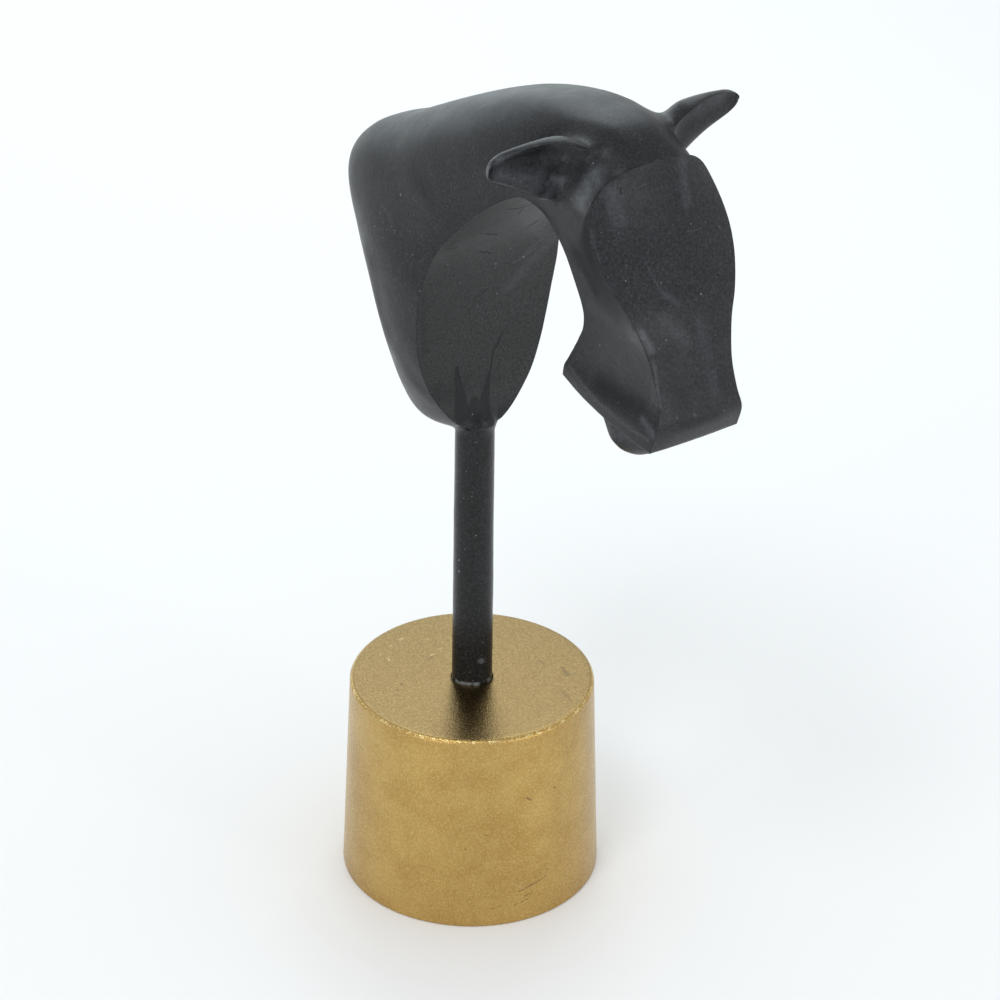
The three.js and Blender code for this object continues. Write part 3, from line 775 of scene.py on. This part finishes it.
def cast_horse(finish):
    """Neck, head, ears and rod joined into one casting, its joins softened and its skin roughened."""
    body_points, body_faces = horse_body()
    horse = mesh_object("horse_casting", body_points, body_faces, WELD)
    ears = [ear(1), ear(-1)]
    tree = turned_tree()
    rod = turned_piece("rod", rod_profile(), ROD_STEPS, tree)
    joined = [mesh_object("ear", *shape, WELD) for shape in ears] + [rod]
    rod_points = np.array([v.co for v in rod.data.vertices]) / MM
    rod_faces = [list(face.vertices) for face in rod.data.polygons]
    for other in joined:
        modifier = horse.modifiers.new("join", "BOOLEAN")
        modifier.operation = "UNION"
        modifier.solver = "MANIFOLD"
        modifier.object = other
    settle(horse)
    for other in joined:
        remove(other)
    others = [(*shape, EAR_FILLET) for shape in ears] + [(rod_points, rod_faces, ROD_FILLET)]
    soften(horse, (body_points, body_faces), others)
    run_tree(horse, cast_skin_tree(), {**HORSE_SKIN, "Finish": finish})
    return horse


def soften(piece, body, others):
    """Softens the creases where the other shapes meet the body, and takes the edge off every corner."""
    mesh = piece.data
    points = np.array([v.co for v in mesh.vertices]) / MM
    edges = np.array([edge.vertices[:] for edge in mesh.edges])
    surface = BVHTree.FromPolygons([Vector(p) for p in body[0]], body[1])
    weight = np.zeros(len(points))
    for other_points, other_faces, fillet in others:
        tree = BVHTree.FromPolygons([Vector(p) for p in other_points], other_faces)
        low, high = other_points.min(0) - fillet, other_points.max(0) + fillet
        near = np.flatnonzero(((points > low) & (points < high)).all(1))
        for i in near:
            to_body = surface.find_nearest(points[i])[3]
            to_other = tree.find_nearest(points[i])[3]
            share = max(0.0, 1 - max(to_body, to_other) / fillet)
            weight[i] = max(weight[i], share * share * (3 - 2 * share))
    points = smoothed(points, edges, FILLET_STRENGTH * weight, FILLET_ROUNDS)
    points = smoothed(points, edges, CORNER_STRENGTH, CORNER_ROUNDS)
    mesh.vertices.foreach_set("co", (points * MM).ravel())
    mesh.update()
    paint(mesh, points, edges)


def paint(mesh, points, edges):
    """Stores the broad marks, painted highlights and painted shade among them, and how sharply the mesh
    bends: above 0 on edges and below 0 in creases.
    """
    normals = np.array([v.normal for v in mesh.vertices])
    off = points - smoothed(points, edges, BEND_STRENGTH, BEND_ROUNDS)
    steps = np.linalg.norm(points[edges[:, 0]] - points[edges[:, 1]], axis=1)
    spacing = np.bincount(edges.ravel(), np.repeat(steps, 2)) / np.bincount(edges.ravel())
    values = {"edge": (off * normals).sum(1) / (BEND_SCALE * np.maximum(spacing, LEAST_SPACING) ** 2)}
    for name, sets in CASTING_MARKS.items():
        values[name] = broad_marks(points, sets)
    for name, value in values.items():
        mesh.attributes.new(name, "FLOAT", "POINT").data.foreach_set("value", value.astype(np.float32))


def is_fine(row):
    return max(row[2], row[3]) < FINE_REACH or row[4] < FINE_SOFTNESS


def broad_marks(points, sets):
    """The strongest of the broad marks at each point, from 0 to 1."""
    strongest = np.zeros(len(points))
    broad = [(facing, row) for facing, rows in sets for row in rows if not is_fine(row)]
    for facing, (start, end, start_reach, end_reach, softness, strength) in broad:
        first = np.multiply(start, facing)
        run = np.multiply(end, facing) - first
        away = points * facing - first
        along = np.clip(away @ run / (run @ run), 0, 1)
        distance = np.linalg.norm(away - along[:, None] * run, axis=1)
        reach = start_reach + (end_reach - start_reach) * along
        inside = np.clip((reach - distance) / (reach * softness), 0, 1)
        strongest = np.maximum(strongest, strength * inside * inside * (3 - 2 * inside))
    return strongest


def smoothed(points, edges, weight, rounds):
    """Moves each point towards the middle of its neighbours, by its weight or one for all, several times."""
    total = len(points)
    weight = np.reshape(weight, (-1, 1))
    neighbours = np.bincount(edges.ravel(), minlength=total)
    for _ in range(rounds):
        sums = [np.bincount(edges[:, 0], points[edges[:, 1], axis], total)
                + np.bincount(edges[:, 1], points[edges[:, 0], axis], total) for axis in range(3)]
        points = points + weight * (np.column_stack(sums) / neighbours[:, None] - points)
    return points


# Finishes

def stroke_group():
    """A node group for one mark: 1 along the line from Start to End, fading to 0 at its reach."""
    places = [(label, "Vector") for label in ("Place", "Start", "End")]
    sizes = [(label, "Float") for label in STROKE_SIZES]
    tree, given = new_tree("stroke", places + sizes, "Float", "ShaderNodeTree")
    run = vector_maths(tree, "SUBTRACT", given["End"], given["Start"])
    off = vector_maths(tree, "SUBTRACT", given["Place"], given["Start"])
    run_by_off = vector_maths(tree, "DOT_PRODUCT", off, run, "Value")
    run_by_run = vector_maths(tree, "DOT_PRODUCT", run, run, "Value")
    values = {0: run_by_off, 1: run_by_run}
    along = add(tree, "ShaderNodeMath", values, operation="DIVIDE", use_clamp=True).outputs[0]
    foot = add(tree, "ShaderNodeVectorMath", {0: run, "Scale": along}, operation="SCALE").outputs[0]
    away = vector_maths(tree, "DISTANCE", off, foot, "Value")
    values = {0: along, 2: given["Start reach"], 3: given["End reach"]}
    reach = add(tree, "ShaderNodeMix", values).outputs[0]
    core = times(tree, reach, less(tree, 1.0, given["Softness"]))
    share = times(tree, between(tree, away, core, reach, 1.0, 0.0), given["Strength"])
    tree.links.new(share, tree.nodes.new("NodeGroupOutput").inputs[0])


def marked(tree, place, sets):
    """The strongest of the marks at a place in millimetres, from 0 to 1."""
    strongest = 0.0
    for facing, rows in sets:
        flat = vector_maths(tree, "MULTIPLY", place, facing)
        for start, end, *sizes in rows:
            ends = {"Start": np.multiply(start, facing).tolist(), "End": np.multiply(end, facing).tolist()}
            values = {"Place": flat, **ends, **dict(zip(STROKE_SIZES, sizes))}
            node = add(tree, "ShaderNodeGroup", values, node_tree=bpy.data.node_groups["stroke"])
            strongest = stronger(tree, strongest, node.outputs[0])
    return strongest


def new_finish(name):
    """A new material, its node tree, its shader and the object's own coordinates, in metres."""
    material = bpy.data.materials.new(name)
    material.use_nodes = True
    tree = material.node_tree
    place = tree.nodes.new("ShaderNodeTexCoord").outputs["Object"]
    return material, tree, tree.nodes["Principled BSDF"], place


def ragged(tree, place, depth):
    """A place in millimetres, pushed about by noise so that marks get ragged edges."""
    values = {"Vector": place, "Scale": RAGGED_SCALE, "Detail": 3.0}
    push = add(tree, "ShaderNodeTexNoise", values).outputs["Color"]
    push = vector_maths(tree, "MULTIPLY", vector_maths(tree, "SUBTRACT", push, (0.5, 0.5, 0.5)), (depth,) * 3)
    return vector_maths(tree, "ADD", vector_maths(tree, "MULTIPLY", place, (1 / MM,) * 3), push)


def dots(tree, place, spacing, radius, share):
    """Small round dots in a share of the cells, 1 in their middle, with spacing and radius in millimetres."""
    cells = add(tree, "ShaderNodeTexVoronoi", {"Vector": place, "Scale": 1000 / spacing}).outputs
    pick, size, _ = axes_of(tree, cells["Color"])
    dot = between(tree, cells["Distance"], 0.0, times(tree, size, 2 * radius / spacing), 1.0, 0.0)
    return times(tree, dot, maths(tree, "LESS_THAN", pick, share))


def hairlines(tree, place, turn, share):
    """Fine scratches, all in about one direction, in some places only."""
    values = {"Vector": place, "Rotation": turn, "Scale": HAIRLINE_STRETCH}
    along = add(tree, "ShaderNodeMapping", values).outputs[0]
    line = maths(tree, "ABSOLUTE", less(tree, noise(tree, along, 1.0, 1.0), 0.5))
    here = between(tree, noise(tree, place, 70.0, 2.0), 1 - share, 1.05 - share)
    return times(tree, between(tree, line, 0.0, HAIRLINE_WIDTH, 1.0, 0.0), here)


def casting_marks(tree, at, rub, name, least, most):
    """The fine marks of one kind, and the broad ones that the mesh keeps, broken up by the rubbing. The broad
    ones hold painted highlights and painted shade.
    """
    fine = [(facing, [row for row in rows if is_fine(row)]) for facing, rows in CASTING_MARKS[name]]
    drawn = marked(tree, at, fine)
    kept = add(tree, "ShaderNodeAttribute", attribute_name=name).outputs["Fac"]
    return stronger(tree, drawn, times(tree, kept, between(tree, rub, 0.3, 0.65, least, most)))


def casting_regions(tree, place):
    """Shares from 0 to 1 that are 1 on the neck's facet, on the face plate, on the rod and at its foot."""
    forward, sideways, _ = axes_of(tree, add(tree, "ShaderNodeNewGeometry").outputs["Normal"])
    x, _, z = axes_of(tree, place)
    flat = between(tree, maths(tree, "ABSOLUTE", sideways), 0.2, 0.5, 1.0, 0.0)
    facet = times(tree, flat, between(tree, x, *FACET_FRONT, 1.0, 0.0))
    facet = times(tree, facet, between(tree, forward, 0.2, 0.4))
    facet = times(tree, facet, between(tree, z, *FACET_FOOT))
    plate = times(tree, between(tree, x, *PLATE_BACK), between(tree, forward, 0.55, 0.8))
    return facet, plate, between(tree, z, *ROD_TOP, 1.0, 0.0), between(tree, z, *FOOT_RING, 1.0, 0.0)


def dress(tree, shader, tone, rough, height, strength, depth):
    """Joins colour, roughness and bumps to the shader."""
    tree.links.new(tone, shader.inputs["Base Color"])
    tree.links.new(rough, shader.inputs["Roughness"])
    values = {"Height": height, "Strength": strength, "Distance": depth}
    tree.links.new(add(tree, "ShaderNodeBump", values).outputs[0], shader.inputs["Normal"])


def black_casting():
    material, tree, shader, place = new_finish("black_casting")
    at = ragged(tree, place, BLACK_RAGGEDNESS)
    rub = noise(tree, place, *RUBBING)
    dark = casting_marks(tree, at, rub, "dark", 0.8, 1.1)
    light = casting_marks(tree, at, rub, "light", 0.7, 1.15)
    edge = add(tree, "ShaderNodeAttribute", attribute_name="edge").outputs["Fac"]
    worn = times(tree, between(tree, edge, 0.25, 0.8), between(tree, rub, 0.35, 0.6))
    light = stronger(tree, light, times(tree, worn, 0.25))
    # Painted shade in the creases, where the surface bends inwards.
    dark = stronger(tree, dark, between(tree, times(tree, edge, -1.0), 0.2, 0.7, 0.0, 0.6))
    # The facet and the face plate are a little lighter than the rest, and the facet is warmer.
    facet, plate, rod, foot = casting_regions(tree, place)
    cloud = noise(tree, place, *BLACK_CLOUD)
    tone = mixed(tree, between(tree, cloud, 0.32, 0.7), BLACK_DEEP, BLACK_PALE)
    tone = mixed(tree, times(tree, plate, between(tree, cloud, 0.25, 0.7, 0.6, 1.0)), tone, PLATE_TONE)
    tone = mixed(tree, facet, tone, FACET_TONE)
    tone = mixed(tree, rod, tone, ROD_TONE)
    grain = noise(tree, place, *BLACK_GRAIN)
    tone = mixed(tree, between(tree, grain, 0.36, 0.5, 0.75, 0.0), tone, DARK_MARK_AND_SHADE_TONE)
    speckle = times(tree, between(tree, grain, 0.5, 0.72), between(tree, plate, 0.0, 1.0, 0.52, 0.62))
    tone = mixed(tree, speckle, tone, SPECKLE_TONE)
    flecks = stronger(tree, dots(tree, place, 7.0, 0.34, 0.35), dots(tree, place, 2.4, 0.2, 0.4))
    flecks = stronger(tree, flecks, times(tree, rod, dots(tree, place, 2.6, 0.3, 0.5)))
    scratches = stronger(tree, hairlines(tree, place, (0.4, 0.7, 0.2), 0.46),
                         hairlines(tree, place, (-0.8, 0.3, 1.1), 0.42))
    # A broken pale band round the rod's foot: a painted glint along its edge.
    ring = times(tree, between(tree, rub, 0.4, 0.58), times(tree, foot, 0.8))
    flecks = stronger(tree, flecks, ring)
    light = stronger(tree, light, times(tree, scratches, 0.13))
    light = times(tree, light, between(tree, grain, 0.3, 0.65, 0.7, 1.15))
    pits = dots(tree, place, 4.6, 0.3, 0.22)
    dark = stronger(tree, dark, times(tree, pits, 0.7))
    # The dark marks hold painted shade, and the light marks painted highlights and painted light, beside real
    # wear.
    tone = mixed(tree, dark, tone, DARK_MARK_AND_SHADE_TONE)
    tone = mixed(tree, light, tone, WEAR_AND_PAINTED_LIGHT_TONE)
    tone = mixed(tree, flecks, tone, FLECK_TONE)
    rough = between(tree, noise(tree, place, *BLACK_GLOSS), 0.3, 0.75, 0.38, 0.29)
    rough = maths(tree, "ADD", rough, times(tree, dark, 0.15))
    rough = less(tree, rough, times(tree, rod, 0.1))
    height = less(tree, grain, times(tree, stronger(tree, pits, dark), 2.0))
    shader.inputs["Specular IOR Level"].default_value = SPECULAR
    dress(tree, shader, tone, rough, height, 0.55, BLACK_BUMP)
    return material


def gold_drum():
    material, tree, shader, place = new_finish("gold_drum")
    shader.inputs["Metallic"].default_value = 1.0
    at = ragged(tree, place, GOLD_RAGGEDNESS)
    dark = marked(tree, at, DRUM_MARKS["dark"])
    light = marked(tree, at, DRUM_MARKS["light"])
    _, _, upward = axes_of(tree, add(tree, "ShaderNodeNewGeometry").outputs["Normal"])
    top = between(tree, upward, 0.9, 0.98)
    cloud = noise(tree, place, *GOLD_CLOUD)
    tone = mixed(tree, between(tree, cloud, 0.3, 0.7), GOLD_DEEP, GOLD_PALE)
    # The top face gets a darker colour: painted shade.
    tone = mixed(tree, top, tone, GOLD_TOP_PAINTED_SHADE)
    # Small spots along the top rim are painted pale: worn paint, and painted glints of the rim's highlight.
    spots = noise(tree, place, *GOLD_SPOTS)
    rim = times(tree, between(tree, upward, 0.3, 0.5), between(tree, upward, 0.8, 0.93, 1.0, 0.0))
    worn = times(tree, rim, between(tree, spots, 0.5, 0.6))
    tone = mixed(tree, worn, tone, GOLD_WEAR_AND_GLINT)
    grain = noise(tree, place, *GOLD_GRAIN)
    calm = less(tree, 1.0, times(tree, top, 0.5))
    tone = mixed(tree, times(tree, calm, between(tree, grain, 0.4, 0.7, 0.0, 0.32)), tone, GOLD_WEAR_AND_GLINT)
    pits = stronger(tree, dots(tree, place, 9.0, 0.34, 0.25), dots(tree, place, 4.0, 0.2, 0.16))
    dark = stronger(tree, dark, times(tree, pits, 0.7))
    tone = mixed(tree, dark, tone, GOLD_STAIN)
    tone = mixed(tree, times(tree, light, 0.4), tone, GOLD_CHIP)
    rough = between(tree, noise(tree, place, *GOLD_GLOSS), 0.3, 0.7, 0.2, 0.34)
    rough = less(tree, rough, times(tree, top, 0.06))
    rough = less(tree, rough, times(tree, worn, 0.12))
    height = less(tree, grain, times(tree, dark, 1.5))
    strength = less(tree, 0.85, times(tree, top, 0.4))
    dress(tree, shader, tone, rough, height, strength, GOLD_BUMP)
    return material


# The sculpture

stroke_group()
horse = cast_horse(black_casting())
drum = turned_piece(
    "drum_turned", drum_profile(), DRUM_STEPS, bpy.data.node_groups["turned"],
    {**DRUM_SKIN, "Finish": gold_drum()},
)
flatten_underside(drum)
for piece, node, slot in ((horse, "horse_head_on_rod", "black_casting"), (drum, "drum_base", "gold_drum")):
    piece.data.shade_smooth()
    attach(piece, "root")
    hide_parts(node)


# The photograph's view and light


def photograph_camera():
    right = Vector((math.cos(CAMERA_AZIMUTH), math.sin(CAMERA_AZIMUTH), 0))
    away = Vector((-math.sin(CAMERA_AZIMUTH), math.cos(CAMERA_AZIMUTH), 0))
    forward = away * math.cos(CAMERA_ELEVATION) - Vector((0, 0, math.sin(CAMERA_ELEVATION)))
    up = away * math.sin(CAMERA_ELEVATION) + Vector((0, 0, math.cos(CAMERA_ELEVATION)))
    c, s = math.cos(CAMERA_ROLL), math.sin(CAMERA_ROLL)
    turned_right, turned_up = right * c + up * s, up * c - right * s
    data = bpy.data.cameras.new("camera")
    data.sensor_width = CAMERA_SENSOR
    data.lens = CAMERA_LENS
    data.clip_start, data.clip_end = CAMERA_REACH
    camera = new_object("camera", data)
    camera.matrix_world = Matrix.Translation(CAMERA_PLACE) @ Matrix(
        (turned_right, turned_up, -forward)).transposed().to_4x4()
    bpy.context.scene.camera = camera


def softbox(name, place, aim, width, height, power, colour):
    """A soft rectangular light at place, facing the point aim."""
    data = bpy.data.lights.new(name, "AREA")
    data.shape = "RECTANGLE"
    data.size, data.size_y = width, height
    data.energy = power
    data.color = colour
    light = new_object(name, data)
    light.location = place
    light.rotation_mode = "QUATERNION"
    light.rotation_quaternion = (Vector(aim) - Vector(place)).to_track_quat("-Z", "Y")


def studio():
    """A pale floor and room, with soft lights behind, overhead, at both sides and above the camera."""
    corners = [(x * FLOOR_REACH, y * FLOOR_REACH, 0) for x, y in ((-1, -1), (1, -1), (1, 1), (-1, 1))]
    floor = mesh_object("floor", corners, [[0, 1, 2, 3]])
    pale = bpy.data.materials.new("floor")
    pale.use_nodes = True
    shader = pale.node_tree.nodes["Principled BSDF"]
    shader.inputs["Base Color"].default_value = FLOOR_TONE
    shader.inputs["Roughness"].default_value = FLOOR_ROUGHNESS
    floor.data.materials.append(pale)
    world = bpy.data.worlds.new("room")
    world.use_nodes = True
    background = world.node_tree.nodes["Background"]
    background.inputs["Color"].default_value = ROOM_TONE
    background.inputs["Strength"].default_value = ROOM_BRIGHTNESS
    bpy.context.scene.world = world
    for name, values in SOFTBOXES.items():
        softbox(name, *values)
    bpy.context.scene.view_settings.view_transform = "Standard"


photograph_camera()
studio()
